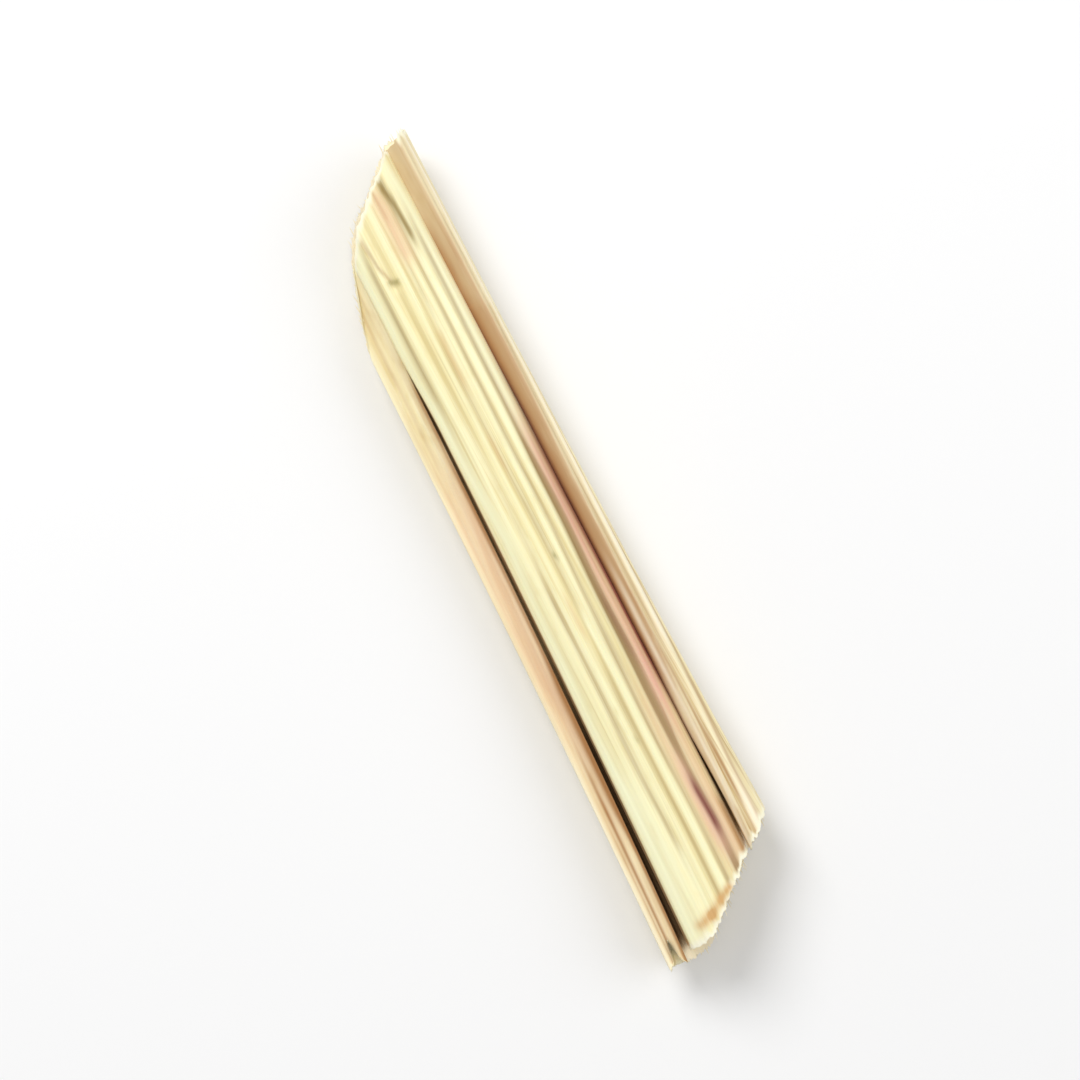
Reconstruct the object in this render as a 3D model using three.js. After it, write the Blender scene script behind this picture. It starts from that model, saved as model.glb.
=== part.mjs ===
// A chopped and dried piece of lemongrass stalk, lying on a table.
//
// A lemongrass stalk is a roll of leaf sheaths. This slanting slice of one, flattened as it dried, holds two of
// them. The outer sheath is a trough: its left edge is torn off and shows the thickness of the leaf, and its right
// margin is thin and curls over the top. The inner sheath lies in the trough like an upturned channel. Both have
// raised ribs, the veins of the leaf, along their outer face, and both are cut off aslant at their two ends.
//
// Millimetres. +X runs along the stalk to its pointed end, +Y to the torn edge, and +Z up. The origin is on the
// table, under the middle of the piece.
import * as THREE from "three";
import { mergeVertices } from "three/addons/utils/BufferGeometryUtils.js";

// The two cuts, seen from above. Each runs aslant over the stalk, and turns near the torn edge: the broad one
// squarely across, and the pointed one back along the stalk in a curve. The point itself is blunt. The broad cut is
// upright, and the pointed one leans back as it rises.
const HALF_LENGTH = 13.35;
const POINTED_CUT = {
  slope: 0.92,
  from: -2.05,
  bluntedBy: 0.5,
  bluntSlope: 0.3,
  turnAt: 0.3,
  turnWidth: 1.7,
  turnPower: 2.5,
  turnedBack: 2.75,
  lean: 0.15, // the share of the height by which it leans back
  leanFrom: 0.3, // the height at which it has the outline given by the values above
};
const BROAD_CUT = { slope: 0.87, turnAt: 0.95 };
const FRAY = 0.22; // the most that a fibre ends short of the cut
const CUT_DISH = 0.12; // how far the middle of a cut face has shrunk back between its two skins

// The stalk bows up a little towards its ends, and its belly is pressed flat where it lies.
const BOW = 0.3;
const BELLY_PRESSED = 0.05;

// Each sheath's middle line across the stalk, as [y, z], with its thickness at the line's first point, halfway
// along it and at its last point. The slice is described at its broad end, at its waist and at its pointed end.
const OUTER_SHEATH = {
  name: "outer_sheath",
  color: 0xdcc794,
  sections: {
    broad: {
      line: [
        [1.925, 1.55], // torn edge
        [1.9, 1.0],
        [1.65, 0.47],
        [0.8, 0.31],
        [0.0, 0.29],
        [-0.85, 0.31],
        [-1.72, 0.5],
        [-2.12, 1.05],
        [-2.05, 1.65],
        [-1.52, 1.98], // thin margin, curled over the top
      ],
      thickness: [0.53, 0.56, 0.34],
    },
    waist: {
      line: [
        [1.645, 1.55],
        [1.64, 1.0],
        [1.45, 0.47],
        [0.7, 0.31],
        [0.0, 0.29],
        [-0.75, 0.31],
        [-1.5, 0.5],
        [-1.87, 1.05],
        [-1.88, 1.6],
        [-1.66, 1.97],
      ],
      thickness: [0.73, 0.56, 0.34],
    },
    pointed: {
      line: [
        [1.57, 1.5],
        [1.57, 1.0],
        [1.42, 0.47],
        [0.7, 0.31],
        [0.0, 0.29],
        [-0.75, 0.31],
        [-1.45, 0.5],
        [-1.79, 1.05],
        [-1.77, 1.5],
        [-1.57, 1.88],
      ],
      thickness: [0.78, 0.56, 0.38],
    },
  },
  ribs: 18,
  ribHeight: 0.05,
  setBack: { broad: 0, pointed: 0 },
  firstEdge: -0.1, // the torn edge has a groove along it
  lastEdge: 0.08,
  firstEdgeSplit: 0.7, // where the torn edge ends in two strands, at the broad end
  seed: 11,
};
const INNER_SHEATH = {
  name: "inner_sheath",
  color: 0xf0e3ae,
  sections: {
    broad: {
      line: [
        [-1.05, 0.82], // right edge, down in the trough
        [-1.14, 1.25],
        [-1.07, 1.7],
        [-0.75, 1.96],
        [-0.05, 2.03],
        [0.75, 1.97],
        [1.1, 1.7],
        [1.14, 1.25],
        [1.08, 0.82], // left edge
      ],
      thickness: [0.46, 0.56, 0.56],
    },
    waist: {
      line: [
        [-1.02, 0.82],
        [-1.12, 1.25],
        [-1.08, 1.7],
        [-0.8, 1.96],
        [-0.1, 2.03],
        [0.54, 1.97],
        [0.84, 1.7],
        [0.87, 1.25],
        [0.82, 0.82],
      ],
      thickness: [0.46, 0.56, 0.56],
    },
    pointed: {
      line: [
        [-0.92, 0.82],
        [-1.02, 1.25],
        [-0.99, 1.68],
        [-0.75, 1.9],
        [-0.1, 1.98],
        [0.5, 1.92],
        [0.79, 1.66],
        [0.81, 1.25],
        [0.77, 0.82],
      ],
      thickness: [0.46, 0.56, 0.54],
    },
  },
  ribs: 9,
  ribHeight: 0.06,
  setBack: { broad: 0.1, pointed: 0.15 }, // how far it ends short of the outer sheath
  firstEdge: 0.06,
  lastEdge: 0.06,
  firstEdgeSplit: 0,
  seed: 23,
};
const COLUMNS_PER_RIB = 4;
const STATIONS = 18;

// A repeatable random number from 0 to 1 for one fibre of a sheath.
function fibreRandom(fibre, seed) {
  const wave = Math.sin(fibre * 12.9898 + seed * 78.233) * 43758.5453;
  return wave - Math.floor(wave);
}

// How far along the slice a station lies, from 0 at the broad to 1 at the pointed end, closest at the two ends.
function alongAt(station) {
  return 0.5 - 0.5 * Math.cos((Math.PI * station) / STATIONS);
}

// A value that runs smoothly through its values at the broad end, at the waist and at the pointed end.
function blend(broad, waist, pointed, along) {
  return (
    broad * (2 * along - 1) * (along - 1) + waist * 4 * along * (1 - along) + pointed * along * (2 * along - 1)
  );
}

// A sheath's cross-section at one place along the slice: its middle line and its three thicknesses.
function sectionAt({ broad, waist, pointed }, along) {
  const points = waist.line.map(
    ([y, z], i) =>
      new THREE.Vector2(
        blend(broad.line[i][0], y, pointed.line[i][0], along),
        blend(broad.line[i][1], z, pointed.line[i][1], along),
      ),
  );
  const thickness = waist.thickness.map((t, i) => blend(broad.thickness[i], t, pointed.thickness[i], along));
  return { line: new THREE.SplineCurve(points), thickness };
}

// The point of a cross-section at a share of the way across the leaf, on its outer face (face 1), in the middle
// of its thickness (face 0) or on its inner face (face -1). The ribs stand on the outer face.
function leafPoint(sheath, { line, thickness }, across, face) {
  const point = line.getPointAt(across);
  const tangent = line.getTangentAt(across);
  const [first, halfway, last] = thickness;
  const edgeShare = (2 * across - 1) ** 2;
  let depth = (face * THREE.MathUtils.lerp(halfway, across < 0.5 ? first : last, edgeShare)) / 2;
  if (face === 1) depth += (sheath.ribHeight / 2) * Math.cos(2 * Math.PI * sheath.ribs * across);
  point.add(new THREE.Vector2(-tangent.y, tangent.x).multiplyScalar(depth));
  if (face === 0 && across === 0) point.addScaledVector(tangent, -sheath.firstEdge);
  if (face === 0 && across === 1) point.addScaledVector(tangent, sheath.lastEdge);
  return point;
}

function pointedCutAt(y) {
  const { slope, from, bluntedBy, bluntSlope, turnAt, turnWidth, turnPower, turnedBack } = POINTED_CUT;
  const cutBack = Math.max(slope * (y - from), bluntedBy + bluntSlope * (y - from));
  const turned = (Math.max(0, y - turnAt) / turnWidth) ** turnPower;
  return HALF_LENGTH - cutBack - turnedBack * turned;
}

function broadCutAt(y) {
  return -HALF_LENGTH + BROAD_CUT.slope * Math.max(0, BROAD_CUT.turnAt - y);
}

// Where the fibre at a point of the cross-section, [y, z], starts and ends along the slice.
function fibreEnds(sheath, [y, z], across, face) {
  const fibre = Math.floor((across * sheath.ribs * COLUMNS_PER_RIB) / 2);
  const dish = face === 0 ? CUT_DISH : 0;
  const split = face === 0 && across === 0 ? sheath.firstEdgeSplit : 0;
  const lean = POINTED_CUT.lean * (z - POINTED_CUT.leanFrom);
  return [
    broadCutAt(y) + sheath.setBack.broad + dish + split + FRAY * fibreRandom(fibre, sheath.seed),
    pointedCutAt(y) - sheath.setBack.pointed - lean - dish - FRAY * fibreRandom(fibre, sheath.seed + 1),
  ];
}

// A ribbed leaf sheath: a flat slab of it, bent across to its cross-sections and cut off at both ends.
function sheathGeometry(sheath) {
  const columns = sheath.ribs * COLUMNS_PER_RIB;
  const slab = new THREE.BoxGeometry(STATIONS, columns, 2, STATIONS, columns, 2);
  slab.translate(STATIONS / 2, columns / 2, 0);
  slab.deleteAttribute("normal");
  slab.deleteAttribute("uv");
  const geometry = mergeVertices(slab);
  const position = geometry.getAttribute("position");
  const sections = [];
  for (let station = 0; station <= STATIONS; station++) sections.push(sectionAt(sheath.sections, alongAt(station)));
  for (let i = 0; i < position.count; i++) {
    const station = Math.round(position.getX(i));
    const across = Math.round(position.getY(i)) / columns;
    const face = Math.round(position.getZ(i));
    const point = leafPoint(sheath, sections[station], across, face);
    const [broadEnd, pointedEnd] = fibreEnds(sheath, point.toArray(), across, face);
    const x = THREE.MathUtils.lerp(broadEnd, pointedEnd, alongAt(station));
    const z = point.y + BOW * (x / HALF_LENGTH) ** 2 - BELLY_PRESSED;
    position.setXYZ(i, x, point.x, Math.max(0, z));
  }
  return geometry;
}

function sheathMesh(sheath) {
  const material = new THREE.MeshStandardMaterial({ color: sheath.color, roughness: 0.6, metalness: 0 });
  const mesh = new THREE.Mesh(sheathGeometry(sheath), material);
  mesh.name = sheath.name;
  return mesh;
}

const stalk = new THREE.Group();
stalk.add(sheathMesh(OUTER_SHEATH), sheathMesh(INNER_SHEATH));

const box = new THREE.Box3().setFromObject(stalk);
const middle = box.getCenter(new THREE.Vector3());
stalk.position.set(-middle.x, -middle.y, -box.min.z);

export default stalk;
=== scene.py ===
"""A chopped and dried piece of lemongrass stalk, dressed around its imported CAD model.

The two leaf sheaths are made again as fine meshes from the same outlines as the CAD solids, with ribs and
veins on their outer faces, fibres and vascular bundles in their cut ends, and torn tissue along the outer
sheath's left edge. Loose fibres stand out of the cuts. Lengths in this script are in millimetres until a
mesh, a light or the camera is made. +X runs to the pointed end of the slice, +Y to the torn edge and +Z up.
"""
import math
from dataclasses import dataclass

import bpy
import numpy as np
from mathutils import Matrix, Vector

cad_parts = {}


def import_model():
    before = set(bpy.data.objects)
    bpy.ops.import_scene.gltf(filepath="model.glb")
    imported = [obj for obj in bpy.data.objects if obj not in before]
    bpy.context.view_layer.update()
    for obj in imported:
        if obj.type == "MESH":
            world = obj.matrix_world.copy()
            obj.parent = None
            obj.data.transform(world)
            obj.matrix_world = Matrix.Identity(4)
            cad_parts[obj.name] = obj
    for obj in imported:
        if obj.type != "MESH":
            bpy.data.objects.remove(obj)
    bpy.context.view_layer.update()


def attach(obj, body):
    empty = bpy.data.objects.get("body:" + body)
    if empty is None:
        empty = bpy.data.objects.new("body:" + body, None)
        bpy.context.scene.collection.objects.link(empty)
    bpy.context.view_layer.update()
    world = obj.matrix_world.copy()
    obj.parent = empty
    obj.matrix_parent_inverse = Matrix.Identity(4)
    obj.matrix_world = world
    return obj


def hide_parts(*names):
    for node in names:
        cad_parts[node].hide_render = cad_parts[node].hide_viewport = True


MM = 0.001  # metres

# The two cuts, seen from above, and the lie of the slice: as in the CAD model.
HALF_LENGTH = 13.35
POINTED_SLOPE, POINTED_FROM = 0.92, -2.05
BLUNTED_BY, BLUNT_SLOPE = 0.5, 0.3
POINTED_TURN_AT, POINTED_TURN_WIDTH, POINTED_TURN_POWER, POINTED_TURNED_BACK = 0.3, 1.7, 2.5, 2.75
POINTED_LEAN, LEAN_FROM = 0.15, 0.3  # the pointed cut leans back as it rises above LEAN_FROM
BROAD_SLOPE, BROAD_TURN_AT = 0.87, 0.95
BOW = 0.3
BELLY_PRESSED = 0.05
CENTRED_BY = (0.3089, 0.0923, 0.0)  # the CAD model is moved by this, to be centred over the origin

# Where the two sheaths press closer together than in the CAD model: the margin of the outer one most of the
# way, and its torn edge only towards the point, where the left side of the inner one bulges out to meet it.
# Each stretch is the x where the pressing sets in and the x where it is full.
MARGIN_PRESSED, MARGIN_PRESSED_OVER = 0.2, (-10.0, -6.5)
MARGIN_PRESSED_AT_POINT, MARGIN_CLOSES_OVER = 0.27, (3.8, 7.0)
TORN_EDGE_PRESSED_AT_POINT, BULGE_AT_POINT = 0.05, 0.1
LEFT_CLOSES_OVER = (4.2, 7.5)

# The skin of the leaf.
VEINS_PER_RIB = 4
VEIN_HEIGHT = 0.012
WRINKLE_HEIGHT = 0.022
RIB_WANDER = 0.02  # how far a rib strays across the leaf
TORN_ROUGHNESS = 0.03

# The cut ends: ragged by FRAY and shrunk back by DISH between the skins, with the bundles standing out of the
# pith.
FRAY = 0.2
DISH = 0.11
BUNDLE_RADIUS = 0.075
BUNDLE_DEPTH = 0.35  # from 0 in the middle of the leaf to 1 at its outer face
BUNDLE_STANDS_OUT = 0.05
LEAF_HALF_THICKNESS = 0.28
CHIPPED_FROM, CHIPPED_BY = 0.62, 0.72  # the shares of the width between which the chipped part begins

LAYERS = 20  # cells through the thickness of a leaf
SAMPLES_PER_SPAN = 80  # how finely a cross-section's curve is measured between two of its points


@dataclass
class Section:
    """A cross-section of a leaf sheath: its middle line as (y, z), and its thickness at the start of that
    line, halfway along it and at its end."""

    line: list
    thickness: list


@dataclass
class Sheath:
    """One leaf sheath: the CAD node that it stands for, its shape, and how finely it is meshed."""

    node: str
    slot: str
    broad: Section
    waist: Section
    pointed: Section
    ribs: int
    rib_height: float
    set_back: tuple  # how far it ends short of the broad cut and of the pointed cut
    first_edge: float  # how far the middle of its first long edge stands out; below 0 is a groove
    last_edge: float
    split: float  # how deep the first edge is split at the broad cut
    chipped: float  # how far the part beside the last edge is chipped back at the broad cut
    columns_per_rib: int
    stations: int
    seed: int


OUTER = Sheath(
    node="outer_sheath",
    slot="outer_leaf",
    broad=Section(
        [(1.925, 1.55), (1.9, 1.0), (1.65, 0.47), (0.8, 0.31), (0.0, 0.29),
         (-0.85, 0.31), (-1.72, 0.5), (-2.12, 1.05), (-2.05, 1.65), (-1.52, 1.98)],
        [0.53, 0.56, 0.34],
    ),
    waist=Section(
        [(1.645, 1.55), (1.64, 1.0), (1.45, 0.47), (0.7, 0.31), (0.0, 0.29),
         (-0.75, 0.31), (-1.5, 0.5), (-1.87, 1.05), (-1.88, 1.6), (-1.66, 1.97)],
        [0.73, 0.56, 0.34],
    ),
    pointed=Section(
        [(1.57, 1.5), (1.57, 1.0), (1.42, 0.47), (0.7, 0.31), (0.0, 0.29),
         (-0.75, 0.31), (-1.45, 0.5), (-1.79, 1.05), (-1.77, 1.5), (-1.57, 1.88)],
        [0.78, 0.56, 0.38],
    ),
    ribs=18,
    rib_height=0.05,
    set_back=(0.0, 0.0),
    first_edge=-0.1,
    last_edge=0.08,
    split=0.7,
    chipped=0.0,
    columns_per_rib=12,
    stations=160,
    seed=11,
)
INNER = Sheath(
    node="inner_sheath",
    slot="inner_leaf",
    broad=Section(
        [(-1.05, 0.82), (-1.14, 1.25), (-1.07, 1.7), (-0.75, 1.96), (-0.05, 2.03),
         (0.75, 1.97), (1.1, 1.7), (1.14, 1.25), (1.08, 0.82)],
        [0.46, 0.56, 0.56],
    ),
    waist=Section(
        [(-1.02, 0.82), (-1.12, 1.25), (-1.08, 1.7), (-0.8, 1.96), (-0.1, 2.03),
         (0.54, 1.97), (0.84, 1.7), (0.87, 1.25), (0.82, 0.82)],
        [0.46, 0.56, 0.56],
    ),
    pointed=Section(
        [(-0.92, 0.82), (-1.02, 1.25), (-0.99, 1.68), (-0.75, 1.9), (-0.1, 1.98),
         (0.5, 1.92), (0.79, 1.66), (0.81, 1.25), (0.77, 0.82)],
        [0.46, 0.56, 0.54],
    ),
    ribs=9,
    rib_height=0.06,
    set_back=(0.1, 0.15),
    first_edge=0.06,
    last_edge=0.06,
    split=0.0,
    chipped=0.2,
    columns_per_rib=18,
    stations=220,
    seed=23,
)


# ---------------------------------------------------------------- shape helpers

def smooth(t):
    """0 up to t = 0 and 1 from t = 1, with a smooth step between them."""
    t = np.clip(t, 0, 1)
    return t * t * (3 - 2 * t)


def rise(value, low, high):
    """0 below low, 1 above high, and smooth between them. low may be the larger one."""
    return smooth((value - low) / (high - low))


def hump(value, middle, width):
    """1 at the middle, fading out within about a width and a half to either side."""
    return np.exp(-(((value - middle) / width) ** 2))


def in_line(x, start, end, fade):
    """1 from start to end along the slice, fading out over fade beyond each."""
    return rise(x, start - fade, start) * rise(x, end + fade, end)


NOISE_CELLS = 64


def noise(u, v, seed):
    """Smooth noise from -1 to 1, with one random value at each whole u and v."""
    table = np.random.default_rng(seed).uniform(-1, 1, (NOISE_CELLS, NOISE_CELLS))
    u0, v0 = np.floor(u).astype(int), np.floor(v).astype(int)
    fu, fv = smooth(u - u0), smooth(v - v0)
    corner = [table[(u0 + a) % NOISE_CELLS, (v0 + b) % NOISE_CELLS] for a in (0, 1) for b in (0, 1)]
    low = corner[0] * (1 - fv) + corner[1] * fv
    high = corner[2] * (1 - fv) + corner[3] * fv
    return low * (1 - fu) + high * fu


def stroke(x, y, path, width, taper):
    """1 on a path of (x, y) points, fading over a width to either side and taper times as far along it."""
    distance = np.full_like(x, np.inf)
    for (x0, y0), (x1, y1) in zip(path, path[1:]):
        step_x, step_y = x1 - x0, y1 - y0
        t = np.clip(((x - x0) * step_x + (y - y0) * step_y) / (step_x**2 + step_y**2), 0, 1)
        distance = np.minimum(distance, np.hypot((x - x0 - t * step_x) / taper, y - y0 - t * step_y))
    return np.exp(-((distance / width) ** 2))


def spline(points, shares):
    """The Catmull-Rom curve through points: its points and unit tangents at shares of its length, and that
    length."""
    padded = np.vstack([points[:1], points, points[-1:]])
    t = np.linspace(0, len(points) - 1, SAMPLES_PER_SPAN * (len(points) - 1) + 1)
    i = np.minimum(t.astype(int), len(points) - 2)
    w = (t - i)[:, None]
    p0, p1, p2, p3 = (padded[i + k] for k in range(4))
    a, b = (p2 - p0) / 2, (p3 - p1) / 2
    curve = (2 * p1 - 2 * p2 + a + b) * w**3 + (3 * p2 - 3 * p1 - 2 * a - b) * w**2 + a * w + p1
    length = np.concatenate([[0], np.cumsum(np.linalg.norm(np.diff(curve, axis=0), axis=1))])
    at = np.column_stack([np.interp(shares * length[-1], length, curve[:, k]) for k in (0, 1)])
    tangent = np.gradient(at, axis=0)
    return at, tangent / np.linalg.norm(tangent, axis=1)[:, None], length[-1]


def blend(broad, waist, pointed, along):
    """A value that runs smoothly through its values at the broad end, the waist and the pointed end."""
    return (
        np.asarray(broad) * (2 * along - 1) * (along - 1)
        + np.asarray(waist) * 4 * along * (1 - along)
        + np.asarray(pointed) * along * (2 * along - 1)
    )


def slab_skin(*counts):
    """The skin of a block of so many cells along its three axes: its lattice points and outward quads."""
    quads = []
    for axis in range(3):
        u, v = (axis + 1) % 3, (axis + 2) % 3
        grid_u, grid_v = np.meshgrid(np.arange(counts[u]), np.arange(counts[v]), indexing="ij")
        for end in (0, counts[axis]):
            corners = np.empty((grid_u.size, 4, 3), int)
            for c, (du, dv) in enumerate(((0, 0), (1, 0), (1, 1), (0, 1))):
                corners[:, c, axis] = end
                corners[:, c, u] = (grid_u + du).ravel()
                corners[:, c, v] = (grid_v + dv).ravel()
            quads.append(corners if end else corners[:, ::-1])
    quads = np.concatenate(quads)
    points, index = np.unique(quads.reshape(-1, 3), axis=0, return_inverse=True)
    return points, index.reshape(-1, 4)


def along_at(station, stations):
    """How far along the slice a station lies, from 0 to 1, with the stations closest at the two ends."""
    return 0.5 - 0.5 * np.cos(math.pi * station / stations)


def pointed_cut(y):
    """x of the pointed cut, seen from above, before it leans back."""
    from_side = y - POINTED_FROM
    cut_back = np.maximum(POINTED_SLOPE * from_side, BLUNTED_BY + BLUNT_SLOPE * from_side)
    turned = np.maximum(0, (y - POINTED_TURN_AT) / POINTED_TURN_WIDTH) ** POINTED_TURN_POWER
    return HALF_LENGTH - cut_back - POINTED_TURNED_BACK * turned


def broad_cut(y):
    """x of the broad cut, seen from above."""
    return -HALF_LENGTH + BROAD_SLOPE * np.maximum(0, BROAD_TURN_AT - y)


# ---------------------------------------------------------------- the leaf sheaths

class Leaf:
    """A fine mesh of one sheath, with what its material has to know at each vertex."""

    def __init__(self, sheath, marks=()):
        self.sheath = sheath
        self.stations = sheath.stations
        self.columns = sheath.ribs * sheath.columns_per_rib
        lattice, self.quads = slab_skin(self.stations, self.columns, LAYERS)
        self.station, self.column, layer = lattice.T
        self.along = along_at(self.station, self.stations)
        self.across = self.column / self.columns
        self.depth = 2 * layer / LAYERS - 1  # 1 on the ribbed outer face, -1 on the inner face
        self.bend(marks)

    def bend(self, marks):
        """Bends the slab across to its cross-sections and puts each vertex in its place along the slice."""
        line, tangent = self.middle_line()
        outward = np.column_stack([-tangent[:, 1], tangent[:, 0]])
        self.bundle = self.bundles()
        x = self.place_along(line, rough=0)
        self.rib = self.rib_relief(x)
        face = line + outward * (self.thickness() / 2)[:, None]
        dented = sum(mark.dent * mark.over(x, face[:, 0]) for mark in marks if mark.dent)
        inner_half, outer_skin = np.clip(-self.depth, 0, 1), np.clip(self.depth, 0, 1) ** 3
        offset = self.depth * self.thickness() / 2 - self.pressed(x) * inner_half
        offset += outer_skin * (self.rib_shape(x) + self.bulge(x) - dented)
        point = line + outward * offset[:, None] + tangent * self.edge_shape(x)[:, None]

        self.x = self.place_along(point, rough=1)
        self.y = point[:, 0]
        lift = BOW * (self.x / HALF_LENGTH) ** 2 - BELLY_PRESSED
        self.z = np.maximum(0, point[:, 1] + lift)

    def middle_line(self):
        """The point of the sheath's middle line at each vertex, and the line's direction there."""
        sections = (self.sheath.broad, self.sheath.waist, self.sheath.pointed)
        shares = np.linspace(0, 1, self.columns + 1)
        stations = along_at(np.arange(self.stations + 1), self.stations)
        curves = [spline(blend(*(section.line for section in sections), s), shares) for s in stations]
        points, tangents, lengths = (np.array(part) for part in zip(*curves))
        self.width = lengths[self.station]
        self.arc = self.across * self.width
        return points[self.station, self.column], tangents[self.station, self.column]

    def thickness(self):
        """The thickness of the leaf at each vertex, which changes from its middle to its two long edges."""
        sections = (self.sheath.broad, self.sheath.waist, self.sheath.pointed)
        first, halfway, last = (
            blend(*(section.thickness[i] for section in sections), self.along) for i in range(3)
        )
        edge = np.where(self.across < 0.5, first, last)
        return halfway + (edge - halfway) * (2 * self.across - 1) ** 2

    def pressed(self, x):
        """How much nearer the outer sheath's inner face stands to the inner sheath than in the CAD model."""
        if self.sheath is INNER:
            return 0 * x
        margin = MARGIN_PRESSED * rise(x, *MARGIN_PRESSED_OVER)
        margin += (MARGIN_PRESSED_AT_POINT - MARGIN_PRESSED) * rise(x, *MARGIN_CLOSES_OVER)
        torn_edge = TORN_EDGE_PRESSED_AT_POINT * rise(x, *LEFT_CLOSES_OVER)
        return margin * rise(self.width - self.arc, 0.8, 0.2) + torn_edge * rise(self.arc, 0.7, 0.3)

    def bulge(self, x):
        """How far the left side of the inner sheath stands out beyond the CAD model."""
        if self.sheath is OUTER:
            return 0 * x
        return BULGE_AT_POINT * rise(x, *LEFT_CLOSES_OVER) * rise(self.width - self.arc, 1.4, 0.9)

    def rib_relief(self, x):
        """1 on the crest of a rib and -1 in the furrow between two, with ribs that wander a little."""
        wander = RIB_WANDER * noise(self.arc * 1.2, x * 0.1, self.sheath.seed)
        return np.cos(2 * math.pi * self.sheath.ribs * (self.across + wander / self.width))

    def rib_shape(self, x):
        """Height of the outer face above the bent slab."""
        sheath, seed = self.sheath, self.sheath.seed
        fade = 0.75 + 0.4 * noise(self.arc * 2.3, x * 0.1, seed + 1)
        vein_phase = 2 * noise(self.arc, x * 0.2, seed + 2)
        veins = np.cos(2 * math.pi * sheath.ribs * VEINS_PER_RIB * self.across + vein_phase)
        return (
            sheath.rib_height / 2 * self.rib * fade
            + VEIN_HEIGHT / 2 * veins * (0.7 + 0.6 * noise(self.arc * 9, x * 0.4, seed + 3))
            + WRINKLE_HEIGHT / 2 * noise(self.arc * 3.1, x * 0.3, seed + 4)
        )

    def edge_shape(self, x):
        """How far the two long edges stand out along the leaf, or are torn back."""
        sheath = self.sheath
        round_edge = np.sqrt(np.clip(1 - self.depth**2, 0, 1))
        torn = 0
        if sheath is OUTER:
            torn = TORN_ROUGHNESS * noise(self.depth * 7, x * 0.5, sheath.seed + 7)
        shape = np.zeros_like(x)
        first, last = self.column == 0, self.column == self.columns
        shape[first] = ((torn - sheath.first_edge) * round_edge)[first]
        shape[last] = (sheath.last_edge * round_edge)[last]
        return shape

    def place_along(self, point, rough):
        """x of each vertex, between the two places where its fibre was cut. rough is 1 for ragged cuts, 0 for
        clean ones."""
        y, z = point.T
        broad_back, pointed_back = self.sheath.set_back
        lean = POINTED_LEAN * (z - LEAN_FROM)
        broad_end = broad_cut(y) + broad_back + rough * self.cut_face(0)
        pointed_end = pointed_cut(y) - pointed_back - lean - rough * self.cut_face(1)
        return broad_end + (pointed_end - broad_end) * self.along

    def cut_face(self, end):
        """How far each fibre ends short of the cut, at the broad end (0) or at the pointed end (1)."""
        seed = self.sheath.seed + 40 * end
        ragged = 0.5 + 0.35 * noise(self.arc * 6, self.depth * 1.5, seed + 5)
        ragged += 0.25 * noise(self.arc * 21, self.depth * 3, seed + 6)
        dished = DISH * (1 - self.depth**4)
        face = FRAY * np.clip(ragged, 0, 1.2) + dished - BUNDLE_STANDS_OUT * self.bundle
        if end == 0:
            face += self.sheath.split * hump(self.arc, 0, 0.3) * hump(self.depth, -0.05, 0.3)
            face += self.sheath.chipped * rise(self.arc, CHIPPED_FROM * self.width, CHIPPED_BY * self.width)
        return face

    def bundles(self):
        """1 in the vascular bundle under each rib, seen in the cut face."""
        ribs = self.sheath.ribs
        off_rib = (self.across * ribs + 0.5) % 1 - 0.5
        across = off_rib * self.width / ribs
        through = (self.depth - BUNDLE_DEPTH) * LEAF_HALF_THICKNESS
        return np.exp(-(((across**2 + through**2) / BUNDLE_RADIUS**2) ** 2))


def mesh_object(name, vertices, faces):
    """A smooth object in the scene, from vertices in millimetres."""
    mesh = bpy.data.meshes.new(name)
    mesh.from_pydata((np.asarray(vertices) * MM).tolist(), [], np.asarray(faces).tolist())
    mesh.shade_smooth()
    made = bpy.data.objects.new(name, mesh)
    bpy.context.scene.collection.objects.link(made)
    return made


def set_field(made, name, values):
    """A number at each vertex, for the material."""
    attribute = made.data.attributes.new(name, "FLOAT", "POINT")
    attribute.data.foreach_set("value", np.asarray(values, np.float32))


# ---------------------------------------------------------------- marks of wear and colour, and painted light and shade

@dataclass
class Mark:
    """A stroke of a colour along a path of (x, y), seen from above. It fades out within about a width to each
    side and taper times as far beyond its two ends, and may be dented in."""

    field: str
    path: list
    width: float
    taper: float
    strength: float
    dent: float = 0.0

    def over(self, x, y):
        return stroke(x, y, self.path, self.width, self.taper)


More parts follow.
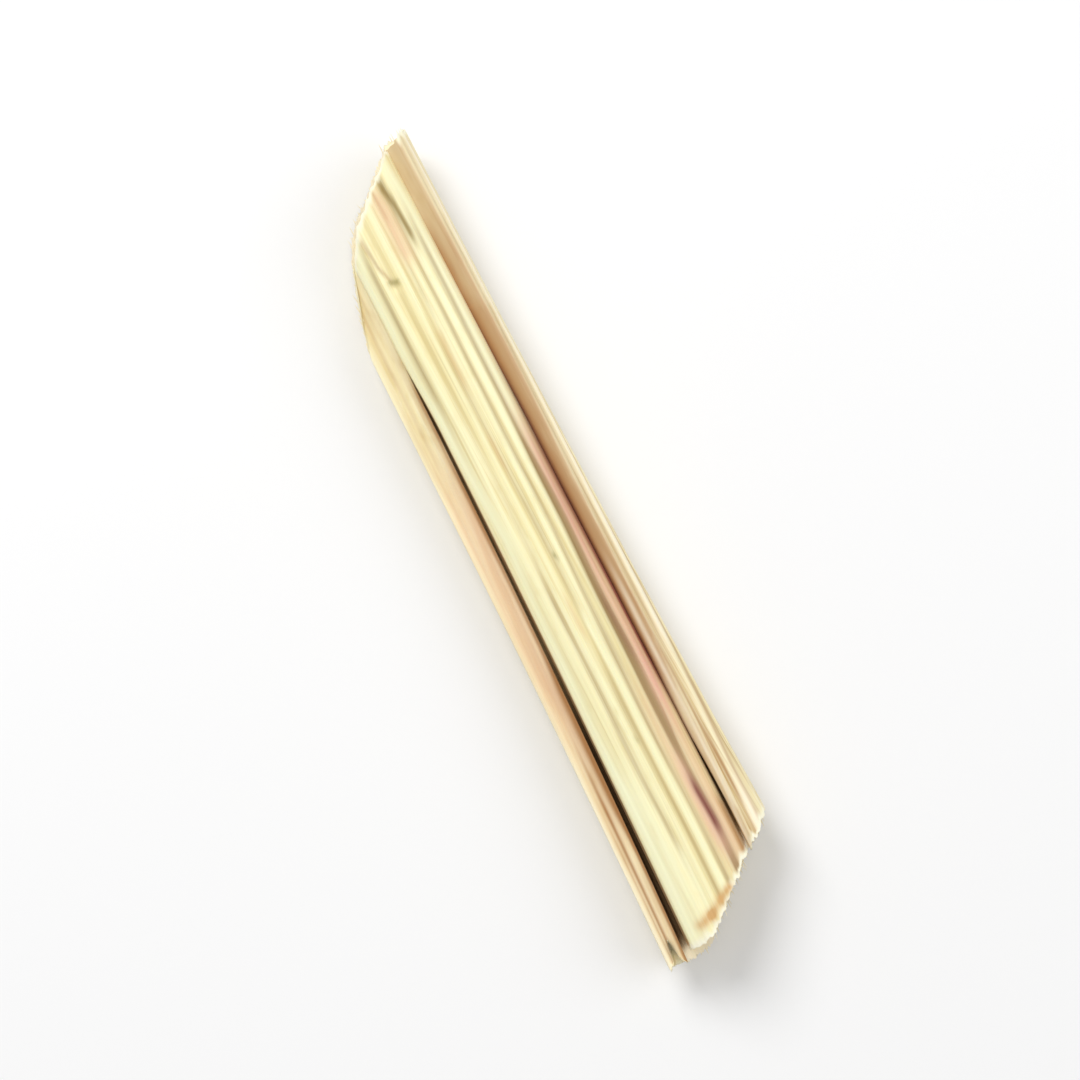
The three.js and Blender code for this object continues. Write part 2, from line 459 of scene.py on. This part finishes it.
INNER_MARKS = [
    # The darker furrows, from the right one to the left one.
    Mark("line", [(8.3, -0.97), (4.0, -0.98), (0.0, -0.95), (-4.0, -0.90), (-8.0, -0.84), (-11.4, -0.84)],
         0.09, 20, 0.85, 0.03),
    Mark("line", [(0.5, -0.95), (-4.0, -0.91), (-5.5, -0.88)], 0.15, 12, 0.9, 0.02),
    Mark("line", [(-5.0, -0.88), (-8.0, -0.84), (-11.0, -0.84)], 0.13, 14, 0.7, 0.02),
    Mark("line", [(9.5, -0.56), (5.5, -0.56), (0.0, -0.53), (-3.5, -0.48)], 0.07, 20, 0.5),
    Mark("line", [(-5.0, -0.40), (-12.0, -0.42)], 0.08, 20, 0.6),
    Mark("line", [(9.5, -0.26), (8.0, -0.24)], 0.06, 20, 0.2),
    Mark("line", [(5.0, -0.08), (1.0, -0.12), (-1.5, -0.14)], 0.09, 16, 0.35),
    Mark("line", [(-6.0, 0.02), (-12.0, 0.0)], 0.09, 20, 0.45),
    Mark("line", [(3.5, 0.38), (-1.5, 0.42)], 0.08, 20, 0.12),
    Mark("line", [(-2.8, 0.43), (-8.0, 0.48), (-9.5, 0.46)], 0.08, 16, 0.55),
    Mark("line", [(8.7, 0.82), (6.5, 0.82), (5.2, 0.80)], 0.07, 16, 0.55, 0.03),
    # The paler crests and shoulders: partly the leaf's own paler tone, partly painted highlight where its
    # face turns from the light.
    Mark("pale_and_highlight", [(11.4, 0.78), (8.8, 1.06), (5.5, 1.06), (4.0, 0.96), (0.0, 0.88), (-4.0, 1.05),
                    (-8.0, 1.13), (-12.5, 1.22)], 0.15, 6, 0.8),
    Mark("pale_and_highlight", [(-8.5, 0.85), (-12.6, 0.9)], 0.3, 4, 0.6),
    Mark("pale_and_highlight", [(-10.6, 0.42), (-12.4, 0.45)], 0.13, 4, 0.6),
    Mark("pale_and_highlight", [(-3.4, -0.19), (-12.0, -0.2)], 0.09, 8, 0.7),
    Mark("pale_and_highlight", [(11.6, -1.0), (10.0, -1.12), (8.0, -1.12), (4.2, -1.15)], 0.14, 10, 0.95),
    Mark("pale_and_highlight", [(9.5, -0.72), (2.0, -0.74)], 0.08, 12, 0.4),
    # The flush of pink and wine along the right side.
    Mark("flush", [(2.2, -1.16), (-4.6, -1.15)], 0.13, 12, 0.95),
    Mark("flush", [(-6.2, -1.12), (-10.4, -1.08)], 0.17, 10, 0.5),
    Mark("flush", [(-6.6, -0.60), (-9.9, -0.62)], 0.16, 9, 0.3),
    Mark("flush", [(-8.5, -0.74), (-10.3, -0.78)], 0.16, 5, 0.45),
    Mark("stain", [(-9.0, -0.80), (-9.9, -0.84)], 0.10, 5, 0.95),
    Mark("stain", [(-3.2, -0.93), (-4.2, -0.93)], 0.08, 8, 0.35),
    # Painted shade along the edge of the groove by the broad cut.
    Mark("brown", [(-9.7, -1.24), (-11.2, -1.22)], 0.09, 4, 0.7),
    # A slit, a peeled patch and a hook-shaped tear towards the point.
    Mark("dark", [(11.0, -0.60), (10.4, -0.68), (9.6, -0.74)], 0.1, 5, 0.85, 0.05),
    Mark("peel", [(10.7, -0.33), (9.8, -0.35), (9.1, -0.34)], 0.25, 2, 0.8, 0.03),
    Mark("brown", [(11.0, -0.27), (10.3, -0.30)], 0.05, 5, 0.25),
    Mark("brown", [(9.8, 0.67), (9.0, 0.60), (8.5, 0.44)], 0.06, 3, 0.4, 0.04),
    Mark("green", [(8.40, 0.46), (8.34, 0.28)], 0.09, 1, 0.6, 0.04),
    # Specks, and the scorched patch inside the broad cut.
    Mark("green", [(-0.98, -0.19), (-1.08, -0.22)], 0.055, 1.5, 0.6),
    Mark("green", [(-6.85, 0.10), (-6.95, 0.08)], 0.06, 1.5, 0.25),
    Mark("scorch", [(6.0, -0.16), (5.0, -0.16)], 0.08, 6, 0.4),
    Mark("scorch", [(2.7, -0.10), (2.2, -0.10)], 0.07, 5, 0.4),
    Mark("scorch", [(-2.6, 0.05), (-3.2, 0.05)], 0.08, 6, 0.3),
    Mark("scorch", [(-12.45, 0.82), (-12.36, 0.50)], 0.17, 1, 0.95),
    Mark("scorch", [(-12.30, 0.42), (-12.12, 0.10)], 0.14, 1, 0.75),
    Mark("scorch", [(-12.02, -0.04), (-11.86, -0.35)], 0.14, 1, 0.8),
]


# Stretches of the slice. The first two are the x where each sets in and the x where it is full. The middle
# runs from its first x to its second, and fades out over MIDDLE_FADE beyond them.
BROAD_PART = (-4.0, -8.0)
BY_BROAD_CUT = (-9.3, -10.2)
MIDDLE, MIDDLE_FADE = (-4.5, 4.5), 2.6

INNER_TOP = 2.26  # the height of the inner sheath's upper face at its waist


def streaks(leaf, across, along, seed):
    """0 to 1, in streaks with so many a millimetre across the leaf and along it."""
    return 0.5 + 0.5 * noise(leaf.arc * across, leaf.x * along, seed)


def end_fields(leaf):
    """The cut faces, the bundles in them, and the bleached fibre tips round them."""
    at_cut = (leaf.station == 0) | (leaf.station == leaf.stations)
    from_end = np.minimum(leaf.along, 1 - leaf.along) * (pointed_cut(leaf.y) - broad_cut(leaf.y))
    ragged = 0.1 + 0.3 * streaks(leaf, across=7, along=0.1, seed=71)
    upper = rise(leaf.z, 1.0, 2.0)
    skin = rise(leaf.depth, 0.2, 0.9)
    return {
        "cut": 1.0 * at_cut,
        "bundle": at_cut * leaf.bundle,
        "tip": ~at_cut * skin * rise(from_end, ragged, 0.03) * (0.3 + 0.7 * upper),
    }


def added(*groups):
    """Fields added up, name by name."""
    total = {}
    for group in groups:
        for name, amount in group.items():
            total[name] = total.get(name, 0) + amount
    return total


def inner_fields(leaf):
    """Where the inner sheath has each of its colours, from 0 to 1."""
    x, y = leaf.x, leaf.y
    below_top = INNER_TOP + BOW * (x / HALF_LENGTH) ** 2 - leaf.z
    outside = rise(leaf.depth, 0.3, 0.6)
    right = outside * rise(below_top, 0.2, 0.65) * (y < 0)
    left = outside * rise(below_top, 0.45, 0.9) * (y > 0)
    top = outside - right - left
    broken = streaks(leaf, across=4, along=0.5, seed=31)
    streaky = streaks(leaf, across=9, along=0.3, seed=37)
    reddened = in_line(x, -4.6, 1.6, fade=2.2)
    brown_and_groove_shade = 0.45 - 0.3 * rise(x, 0.0, 4.0) + 0.5 * reddened + 0.4 * rise(x, -9.0, -10.0)
    # Painted shade: the sides are browned down into the slot and the groove, and the groove side is laid in
    # wine and reddened along its edge, over the sides' own tan and pink tints.
    fields = {
        "tan": 0.5 * left + 0.5 * right * rise(x, 10.5, 7.5),
        "brown": right * brown_and_groove_shade + 0.75 * left * rise(x, 7.0, 4.0),
        "red": (right + top * hump(y, -1.36, 0.07)) * reddened * (0.5 + 0.6 * streaky),
        "wine": right * rise(below_top, 0.25, 0.5) * in_line(x, -7.0, 3.5, fade=2.5) * 0.6,
        "inside": (1 - outside) * rise(leaf.depth, -0.5, -0.9),
    }
    waver = 0.02 * noise(x * 0.4, 0 * x, seed=41)
    worn = top * (0.6 + 0.4 * broken + 0.3 * streaky)
    marks = [{mark.field: mark.strength * worn * mark.over(x, y + waver)} for mark in INNER_MARKS]
    return added(fields, *marks)


def torn_edge_fields(leaf):
    """The outer sheath's torn edge: pinkish, in two strands at the broad end, and brown towards the slot as
    painted shade.
    """
    x, depth = leaf.x, leaf.depth
    torn = rise(leaf.arc, 0.05, 0.0)
    streaky = streaks(leaf, across=7, along=0.3, seed=57)
    strand = np.clip(noise(depth * 6, x * 0.2, seed=61), 0, 1)
    slot_side, table_side = rise(depth, 0.5, -0.7), rise(depth, 0.5, 1.0)
    broad, wide = rise(x, *BROAD_PART), in_line(x, -8.0, -5.0, fade=2.0)
    # Painted shade: tan and brown down the side that faces the slot, brown in the gap between the two
    # strands, and dark in the split between them.
    shaded = 0.3 * in_line(x, -2.5, 2.0, fade=2.5) + 0.85 * wide
    slot_rim_shade = rise(depth, -0.6 + 0.35 * wide, -0.9) * rise(x, 4.5, 2.0) * (0.8 + 0.4 * wide)
    slot_rim_shade += 0.7 * rise(depth, -0.65, -0.9) * in_line(x, 4.0, 5.0, fade=0.9)
    shade_between_strands = hump(depth, 0.05, 0.2) * rise(x, -5.5, -8.5)
    shade_between_strands += 0.4 * hump(depth, 0.5, 0.12) * rise(x, -8.0, -10.0)
    return {
        "line": torn * 0.35 * strand,
        "tan": torn * slot_side * shaded * (0.6 + 0.6 * streaky),
        "flush": torn * rise(x, 4.5, 0.5) * (0.55 - 0.25 * broad) * (1 - 0.6 * table_side),
        # Paler on its outer side: partly its own pale strand, partly painted highlight.
        "pale_and_highlight": torn * table_side * (0.3 + 0.4 * broad),
        "brown": torn * (slot_rim_shade + 0.85 * shade_between_strands),
        "cleft_shade": hump(leaf.arc, 0, 0.25) * hump(depth, -0.05, 0.3) * rise(x, -12.3, -12.75),
    }


def margin_parts(leaf):
    """How far each vertex is from the outer sheath's margin, how much it is part of the margin's narrow end,
    and how much of the outer face."""
    from_margin = leaf.width - leaf.arc
    end = rise(from_margin, 0.04, 0.0)
    return from_margin, end, rise(leaf.depth, 0.3, 0.8) * (1 - end)


def margin_tan(x):
    """How tan the margin is in the middle of the slice and from there to the point."""
    to_point = (0.8 - 0.2 * rise(x, 8.0, 10.0)) * rise(x, 4.0, 6.5)
    return 0.95 * in_line(x, *MIDDLE, MIDDLE_FADE) + to_point


def margin_end_fields(leaf):
    """The narrow end of the curled margin, with painted shade in brown and wine that is darkest by the
    groove.
    """
    x, depth = leaf.x, leaf.depth
    _, end, _ = margin_parts(leaf)
    streaky = streaks(leaf, across=7, along=0.3, seed=57)
    broken = streaks(leaf, across=3, along=0.6, seed=53)
    broad, by_cut = rise(x, *BROAD_PART), rise(x, *BY_BROAD_CUT)
    inner_side = rise(depth, -0.3, -0.8)
    shade_by_groove = inner_side + (rise(depth, 0.0, -0.7) - inner_side) * rise(x, -2.0, 0.5)
    lines = hump(depth, 0.15, 0.2) + 0.7 * hump(depth, 0.8, 0.12)
    crest = hump(leaf.y, -1.56, 0.07) * rise(x, -1.0, -4.0) * (1 - by_cut)
    pale = 0.1 * rise(depth, 0.3, 1.0) + broad * (1 - by_cut) * rise(depth, -0.3, -0.7)
    tan = (margin_tan(x) + 0.5 * broad) * (0.85 + 0.3 * streaky)
    reddened = 0.85 * in_line(x, -5.0, 2.5, fade=2.5) + 0.6 * in_line(x, 4.0, 6.0, fade=2.0)
    return {
        "line": broad * end * lines * (0.4 + 0.5 * broken),
        "tan": end * tan * (1 - 0.5 * rise(depth, 0.65, 1.0)),
        # Paler stripes along the end: partly its own pale tone, partly painted highlight, most on its crest.
        "pale_and_highlight": end * (pale + 0.8 * by_cut * hump(depth, 0.1, 0.4) + 0.7 * crest),
        "brown": end * (0.75 * shade_by_groove * in_line(x, -8.5, 8.5, fade=2.0) + 0.9 * by_cut * inner_side),
        "wine": end * rise(depth, -0.45, -0.9) * reddened,
    }


def margin_face_fields(leaf):
    """The outer face along the margin: fine lines in its broad part, a furrow next to the margin, a painted
    highlight.
    """
    x = leaf.x
    from_margin, _, face = margin_parts(leaf)
    broken = streaks(leaf, across=3, along=0.6, seed=53)
    broad, by_cut = rise(x, *BROAD_PART), rise(x, *BY_BROAD_CUT)
    lines = hump(from_margin, 0.06, 0.06) + hump(from_margin, 0.2, 0.05) + hump(from_margin, 0.45, 0.06)
    furrow_y = -1.65 + 0.017 * x
    furrowed = rise(leaf.depth, 0.0, 0.3) * rise(from_margin, 0.35, 0.2) * rise(x, -1.0, -4.0) * (1 - by_cut)
    return {
        "line": broad * face * lines * (0.4 + 0.5 * broken),
        "tan": 0.35 * face * margin_tan(x) * rise(from_margin, 0.3, 0.15),
        # Painted highlight along the face beside the margin.
        "pale_and_highlight": face * hump(from_margin, 0.36, 0.12) * (0.9 - 0.65 * in_line(x, -8.6, -5.5, fade=1.5)),
        "brown": 0.6 * furrowed * hump(leaf.y, furrow_y, 0.045),
    }


def trough_fields(leaf):
    """The inside of the trough, with painted shade in the slot and the groove on either side of the inner
    sheath and painted light where it opens at the cuts, and its veined outside."""
    x, y = leaf.x, leaf.y
    from_edge = np.minimum(leaf.arc, leaf.width - leaf.arc)
    inside = rise(leaf.depth, -0.5, -0.9) * rise(from_edge, 0.0, 0.04)
    outside = rise(leaf.depth, 0.4, 0.9) * rise(from_edge, 0.5, 0.8)
    open_to_light = rise(np.minimum(pointed_cut(y) - x, x - broad_cut(y)), 1.0, 0.3)
    shaded = inside * (1 - open_to_light)
    crest = rise(leaf.rib, 0.5, 1.0) * streaks(leaf, across=9, along=0.2, seed=67)
    furrow = rise(leaf.rib, -0.5, -1.0) * (0.2 + 0.5 * streaks(leaf, across=2, along=0.25, seed=63))
    in_slot = (y > 1.0) * rise(x, -3.0, -7.0)
    in_groove = (y < -1.0) * rise(x, -7.0, -9.0)
    return {
        "inside": inside,
        # Painted light inside where the trough opens at the cuts; on the rib crests outside, partly painted
        # highlight.
        "pale_and_highlight": 0.8 * inside * open_to_light + 0.45 * outside * crest,
        # Darker in the furrows outside: partly its own tone, partly painted shade.
        "line": outside * furrow,
        # Painted shade: brown and dark inside where the trough lies in shade in the slot and the groove, and
        # red along the groove side over its own reddish tint.
        "brown": 0.45 * shaded * rise(x, 8.0, 4.0),
        "red": 0.7 * inside * (y < 0) * in_line(x, *MIDDLE, MIDDLE_FADE),
        "dark": shaded * (0.8 * in_slot + 0.3 * in_groove),
    }


def outer_fields(leaf):
    """Where the outer sheath has each of its colours."""
    return added(
        torn_edge_fields(leaf), margin_end_fields(leaf), margin_face_fields(leaf), trough_fields(leaf)
    )


# ---------------------------------------------------------------- materials

def srgb(code):
    """A colour as Blender wants it, from a hex code such as "f3e8af"."""
    shares = np.array([int(code[i:i + 2], 16) / 255 for i in (0, 2, 4)])
    linear = np.where(shares <= 0.04045, shares / 12.92, ((shares + 0.055) / 1.055) ** 2.4)
    return (*linear.tolist(), 1.0)


class Paint:
    """Builds one material's nodes."""

    def __init__(self, name):
        self.material = bpy.data.materials.new(name)
        self.material.use_nodes = True
        self.tree = self.material.node_tree
        self.shader = self.tree.nodes["Principled BSDF"]

    def node(self, kind, inputs=None, **settings):
        made = self.tree.nodes.new(kind)
        for key, value in settings.items():
            setattr(made, key, value)
        for key, value in (inputs or {}).items():
            self.join(value, made.inputs[key])
        return made

    def join(self, value, socket):
        if isinstance(value, bpy.types.NodeSocket):
            self.tree.links.new(value, socket)
        else:
            socket.default_value = value

    def attribute(self, name):
        return self.node("ShaderNodeAttribute", attribute_name=name).outputs["Fac"]

    def math(self, operation, a, b):
        return self.node("ShaderNodeMath", {0: a, 1: b}, operation=operation).outputs[0]

    def step(self, value, low, high):
        """0 at low and 1 at high."""
        made = self.node("ShaderNodeMapRange", {"Value": value, "From Min": low, "From Max": high})
        made.interpolation_type = "SMOOTHSTEP"
        return made.outputs["Result"]

    def grain(self, across, along, detail=2.0, shift=0.0):
        """Noise from 0 to 1, with so many features a millimetre across the leaf and along it."""
        place = self.node(
            "ShaderNodeCombineXYZ",
            {
                "X": self.math("MULTIPLY", self.attribute("arc"), across),
                "Y": self.math("MULTIPLY", self.attribute("x"), along),
                "Z": self.math("ADD", self.attribute("depth"), shift),
            },
        )
        settings = {"Vector": place.outputs[0], "Scale": 1.0, "Detail": detail}
        return self.node("ShaderNodeTexNoise", settings).outputs["Fac"]

    def bump(self, height, strength, rise_by, normal=None):
        """A bump of a height from 0 to 1, which stands for rise_by millimetres, over another one if given."""
        settings = {"Height": height, "Strength": strength, "Distance": rise_by * MM}
        if normal:
            settings["Normal"] = normal
        return self.node("ShaderNodeBump", settings).outputs[0]

    def over(self, under, over, amount):
        """The colour under with the colour over laid on it by an amount from 0 to 1."""
        inputs = {0: amount, 6: under, 7: over}
        return self.node("ShaderNodeMix", inputs, data_type="RGBA", clamp_factor=True).outputs[2]


# How the leaf takes the light. The reliefs and the subsurface scale are in millimetres.
SPECULAR = 0.35
ROUGHNESS, ROUGHNESS_VARIES = 0.38, 0.3
FIBRE_BUMP, FIBRE_RELIEF = 0.35, 0.012
CELL_BUMP, CELL_RELIEF = 0.12, 0.006
SUBSURFACE, SUBSURFACE_SCALE = 0.15, 0.25
SUBSURFACE_RADIUS = (1.0, 0.8, 0.5)

# The colours laid over the leaf's own, in this order, each where its field is strong.
LAID_OVER = (
    "inside", "line", "tan", "flush", "peel", "pale_and_highlight", "brown", "red", "wine", "dark", "green", "stain",
    "tip", "scorch", "cut", "bundle", "cleft_shade",
)


def leaf_colour(paint, palette, fields, streak):
    """The leaf's own streaked and veined colour, with the colours of its fields laid over it."""
    wide, patchy = paint.grain(2.6, 0.06), paint.grain(4.0, 0.1, shift=3.0)
    threads = paint.step(paint.grain(13.0, 0.16, detail=1.0, shift=5.0), 0.56, 0.72)
    blotches = paint.step(paint.grain(3.6, 0.9, shift=11.0), 0.52, 0.9)
    rib = paint.attribute("rib")
    furrow = paint.math("MULTIPLY", paint.step(rib, 0.0, -1.0), paint.step(patchy, 0.35, 0.75))

    colour = paint.over(palette["body"], palette["light"], paint.step(wide, 0.3, 0.7))
    colour = paint.over(colour, palette["shade"], paint.step(streak, 0.45, 0.66))
    colour = paint.over(colour, palette["furrow"], paint.math("MULTIPLY", threads, 0.6))
    colour = paint.over(colour, palette["shade"], blotches)
    # Darker in the rib furrows and paler on the crests: partly the leaf's own tone, partly painted shade and
    # highlight over the relief.
    colour = paint.over(colour, palette["furrow"], furrow)
    colour = paint.over(colour, palette["light"], paint.math("MULTIPLY", paint.step(rib, 0.2, 1.0), 0.5))
    streaky = paint.math("ADD", paint.math("MULTIPLY", streak, 1.2), 0.45)
    for field in LAID_OVER:
        if field in fields:
            amount = paint.math("MULTIPLY", paint.attribute(field), streaky)
            colour = paint.over(colour, palette[field], amount)
    return colour


def leaf_material(name, palette, fields):
    """A sheath's skin: streaked along the fibres, and with fibres and cells standing out of it."""
    paint = Paint(name)
    middle, fine = paint.grain(9.0, 0.12), paint.grain(26.0, 0.4)
    streak = paint.math("ADD", paint.math("MULTIPLY", middle, 0.6), paint.math("MULTIPLY", fine, 0.4))
    cells = paint.grain(34.0, 9.0, detail=1.0, shift=7.0)
    fibres = paint.bump(fine, FIBRE_BUMP, FIBRE_RELIEF)
    rough = paint.math("ADD", paint.math("MULTIPLY", streak, ROUGHNESS_VARIES), ROUGHNESS)
    shader = paint.shader
    paint.join(leaf_colour(paint, palette, fields, streak), shader.inputs["Base Color"])
    paint.join(rough, shader.inputs["Roughness"])
    paint.join(paint.bump(cells, CELL_BUMP, CELL_RELIEF, normal=fibres), shader.inputs["Normal"])
    shader.inputs["Specular IOR Level"].default_value = SPECULAR
    shader.inputs["Subsurface Weight"].default_value = SUBSURFACE
    shader.inputs["Subsurface Radius"].default_value = SUBSURFACE_RADIUS
    shader.inputs["Subsurface Scale"].default_value = SUBSURFACE_SCALE * MM
    return paint.material


INNER_PALETTE = {
    "body": srgb("f4e8b2"),
    "light": srgb("fcf6ca"),
    "shade": srgb("ebdca2"),
    "furrow": srgb("dac88e"),
    "inside": srgb("e4cf9c"),
    "line": srgb("a38859"),
    "tan": srgb("e0bf90"),
    "flush": srgb("ecbca4"),
    "peel": srgb("eccca2"),
    "scorch": srgb("d8ad72"),
    # Partly painted: the highlight on the crests and shoulders, and the shade of the slot and the groove in
    # the brown, red and wine below, over the leaf's own tints and marks.
    "pale_and_highlight": srgb("fffdd4"),
    "brown": srgb("b98a5a"),
    "red": srgb("b87462"),
    "wine": srgb("7c4438"),
    "dark": srgb("8a6c1e"),
    "green": srgb("948a4c"),
    "stain": srgb("84483e"),
    "tip": srgb("fdf8dc"),
    "cut": srgb("f6ebc4"),
    "bundle": srgb("dfcb98"),
}
OUTER_PALETTE = dict(
    INNER_PALETTE,
    body=srgb("f1e3b4"),
    light=srgb("faf0c8"),
    shade=srgb("dfc88e"),
    furrow=srgb("c3a56e"),
    line=srgb("bd9560"),
    tan=srgb("c19c6f"),
    flush=srgb("edc8a6"),
    # Partly painted: the shade of the slot, the groove and the split in the wine, brown, red, dark and cleft
    # colours below, and highlight in the pale one, over the sheath's own tints.
    wine=srgb("784a34"),
    brown=srgb("ac7a48"),
    red=srgb("b0604c"),
    dark=srgb("5c3a1c"),
    pale_and_highlight=srgb("fff3d8"),
    cleft_shade=srgb("4a3820"),
)


def leaf_object(leaf, fields, palette):
    """Puts a sheath in the scene, in the place of its CAD node."""
    sheath = leaf.sheath
    vertices = np.column_stack([leaf.x, leaf.y, leaf.z]) + CENTRED_BY
    made = mesh_object(sheath.node + "_leaf", vertices, leaf.quads)
    rib_outside = leaf.rib * rise(leaf.depth, 0.0, 1.0)
    places = {"arc": leaf.arc, "x": leaf.x, "depth": leaf.depth, "rib": rib_outside}
    fields = {**end_fields(leaf), **fields}
    for name, values in {**places, **fields}.items():
        set_field(made, name, values)
    made.data.materials.append(leaf_material(sheath.slot, palette, fields))
    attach(made, "root")
    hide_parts(sheath.node)


def plain_material(name, colour, roughness):
    """One colour with a faint uneven tone."""
    paint = Paint(name)
    tone = paint.node("ShaderNodeTexNoise", {"Scale": 90.0, "Detail": 4.0}).outputs["Fac"]
    colour = paint.over(srgb(colour), (1, 1, 1, 1), paint.math("MULTIPLY", tone, 0.04))
    paint.join(colour, paint.shader.inputs["Base Color"])
    paint.shader.inputs["Roughness"].default_value = roughness
    return paint.material


# ---------------------------------------------------------------- loose fibres

OUTER_FIBRES, INNER_FIBRES = 70, 60  # from each cut
FIBRE_SIDES, FIBRE_RINGS = 5, 5
FIBRE_RADIUS = 0.02
FIBRE_TIP_RADIUS = 0.001
FIBRE_ROOT = 0.12  # how much of a fibre is inside the leaf
FIBRE_LENGTH, FIBRE_LENGTH_VARIES = 0.06, 0.3  # how far the shortest stands out, and the longest beyond that
FIBRE_BEND = 0.25  # of its length
FIBRE_DEPTH = 0.9  # how near to the leaf's two faces a fibre may stand, where 1 is on them


def tapering_tube(points, radius):
    """Vertices and faces of a tube round points, which narrows almost to nothing at the last of them."""
    turns = 2 * math.pi * np.arange(FIBRE_SIDES) / FIBRE_SIDES
    ring = np.column_stack([0 * turns, np.cos(turns), np.sin(turns)])
    radii = radius * np.sqrt(1 - np.linspace(0, 1, len(points)) ** 2) + FIBRE_TIP_RADIUS
    vertices = np.concatenate([point + r * ring for point, r in zip(points, radii)])
    faces = []
    for k in range(len(points) - 1):
        for i in range(FIBRE_SIDES):
            j, base = (i + 1) % FIBRE_SIDES, k * FIBRE_SIDES
            faces.append((base + i, base + j, base + FIBRE_SIDES + j, base + FIBRE_SIDES + i))
    return vertices, faces


def cut_fibres(leaf, count):
    """Fibres that stand loose out of the two cuts of a leaf, count of them from each: vertices and faces."""
    random = np.random.default_rng(leaf.sheath.seed + 90)
    vertices, faces, used = [], [], 0
    for end, outwards in ((0, -1), (leaf.stations, 1)):
        roots = np.flatnonzero((leaf.station == end) & (np.abs(leaf.depth) < FIBRE_DEPTH))
        for root in random.choice(roots, count, replace=False):
            length = FIBRE_LENGTH + FIBRE_LENGTH_VARIES * random.random() ** 3
            bend = random.uniform(-FIBRE_BEND, FIBRE_BEND, 2) * length
            t = np.linspace(0, 1, FIBRE_RINGS)
            line = np.column_stack([
                leaf.x[root] + outwards * (-FIBRE_ROOT + (FIBRE_ROOT + length) * t),
                leaf.y[root] + bend[0] * t**2,
                np.maximum(FIBRE_RADIUS, leaf.z[root] + bend[1] * t**2),
            ])
            tube, sides = tapering_tube(line, FIBRE_RADIUS * random.uniform(0.5, 1))
            vertices.append(tube)
            faces += [tuple(used + corner for corner in face) for face in sides]
            used += len(tube)
    return np.concatenate(vertices), faces


def fibres_object(leaf, count, colour):
    vertices, faces = cut_fibres(leaf, count)
    made = mesh_object(leaf.sheath.node + "_cut_fibres", vertices + CENTRED_BY, faces)
    made.data.materials.append(plain_material(leaf.sheath.slot + "_fibres", colour, 0.6))
    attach(made, "root")


# ---------------------------------------------------------------- stage, light and camera

# The photograph looks down on the heap. PICTURE_ROLL turns its right and up directions into this frame's.
PICTURE_ROLL = math.radians(243.2)
LENS, SENSOR = 90.0, 36.0
FRAME_HEIGHT = 32.0  # how much of the table the picture takes in
AIM_HEIGHT = 1.2  # the camera looks at the middle of the piece
CLIP_START, CLIP_END = 1.0, 5000.0
# The piece lies in the upper part of the photograph, so it is seen a little from below it.
CAMERA_TILT = math.radians(7.0)

# Each light's place (how far to the right, up the picture and above the table), its size and its watts.
KEY_PLACE, KEY_SIZE, KEY_POWER = (-90, 110, 150), 120, 0.27
FILL_PLACE, FILL_SIZE, FILL_POWER = (140, 20, 140), 200, 0.12
SKY_STRENGTH = 0.48
FLOOR_REACH = 400.0  # half the side of the square floor


def make_floor():
    r = FLOOR_REACH
    floor = mesh_object("floor", [(-r, -r, 0), (r, -r, 0), (r, r, 0), (-r, r, 0)], [(0, 1, 2, 3)])
    floor.data.materials.append(plain_material("floor", "f4f4f4", 0.9))


def in_picture(right, up, height):
    """A place given by the picture's own right and up directions."""
    c, s = math.cos(PICTURE_ROLL), math.sin(PICTURE_ROLL)
    return (right * c - up * s, right * s + up * c, height)


def make_light(name, place, size, power):
    """An area light at a place in the picture, aimed at the slice."""
    lamp = bpy.data.lights.new(name, "AREA")
    lamp.shape = "DISK"
    lamp.size = size * MM
    lamp.energy = power
    made = bpy.data.objects.new(name, lamp)
    made.location = Vector(in_picture(*place)) * MM
    made.rotation_euler = (-made.location).to_track_quat("-Z", "Y").to_euler()
    bpy.context.scene.collection.objects.link(made)


def make_lights():
    make_light("key", KEY_PLACE, KEY_SIZE, KEY_POWER)
    make_light("fill", FILL_PLACE, FILL_SIZE, FILL_POWER)
    world = bpy.data.worlds.new("world")
    world.use_nodes = True
    background = world.node_tree.nodes["Background"]
    background.inputs["Color"].default_value = (1, 1, 1, 1)
    background.inputs["Strength"].default_value = SKY_STRENGTH
    bpy.context.scene.world = world
    bpy.context.scene.view_settings.view_transform = "Standard"


def make_camera():
    data = bpy.data.cameras.new("camera")
    data.lens, data.sensor_width = LENS, SENSOR
    data.clip_start, data.clip_end = CLIP_START * MM, CLIP_END * MM
    camera = bpy.data.objects.new("camera", data)
    distance = FRAME_HEIGHT * LENS / SENSOR * MM
    turn = Matrix.Rotation(PICTURE_ROLL, 4, "Z") @ Matrix.Rotation(CAMERA_TILT, 4, "X")
    centre = Matrix.Translation((0, 0, AIM_HEIGHT * MM))
    camera.matrix_world = centre @ turn @ Matrix.Translation((0, 0, distance))
    bpy.context.scene.collection.objects.link(camera)
    bpy.context.scene.camera = camera


def main():
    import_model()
    outer, inner = Leaf(OUTER), Leaf(INNER, INNER_MARKS)
    leaf_object(outer, outer_fields(outer), OUTER_PALETTE)
    leaf_object(inner, inner_fields(inner), INNER_PALETTE)
    fibres_object(outer, OUTER_FIBRES, "f3e6c0")
    fibres_object(inner, INNER_FIBRES, "f8eed0")
    make_floor()
    make_lights()
    make_camera()


main()
